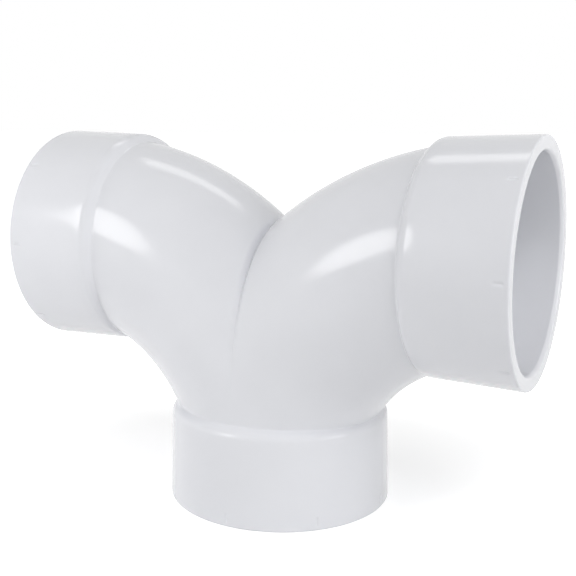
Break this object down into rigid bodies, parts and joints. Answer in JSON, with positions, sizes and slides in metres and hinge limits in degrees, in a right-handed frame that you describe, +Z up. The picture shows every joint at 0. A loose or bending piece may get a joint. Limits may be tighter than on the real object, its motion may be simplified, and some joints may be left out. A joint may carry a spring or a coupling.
{
  "type": "double elbow pipe fitting",
  "caption": "White plastic drain fitting: a bottom socket whose pipe parts into a left and a right quarter bend, each ending in a level socket.",
  "frame": {"origin": "centre of the bottom socket's mouth, on the plane that the fitting stands on", "axes": "+Z up along the bottom socket's axis, +X along the axis of the right side socket, +Y away from the viewer"},
  "size_m": [0.2318, 0.1024, 0.1671],
  "materials": {
    "pvc_white": "smooth moulded, semi-gloss"
  },
  "bodies": {
    "root": {"double_elbow": "pvc_white"}
  },
  "joints": []
}
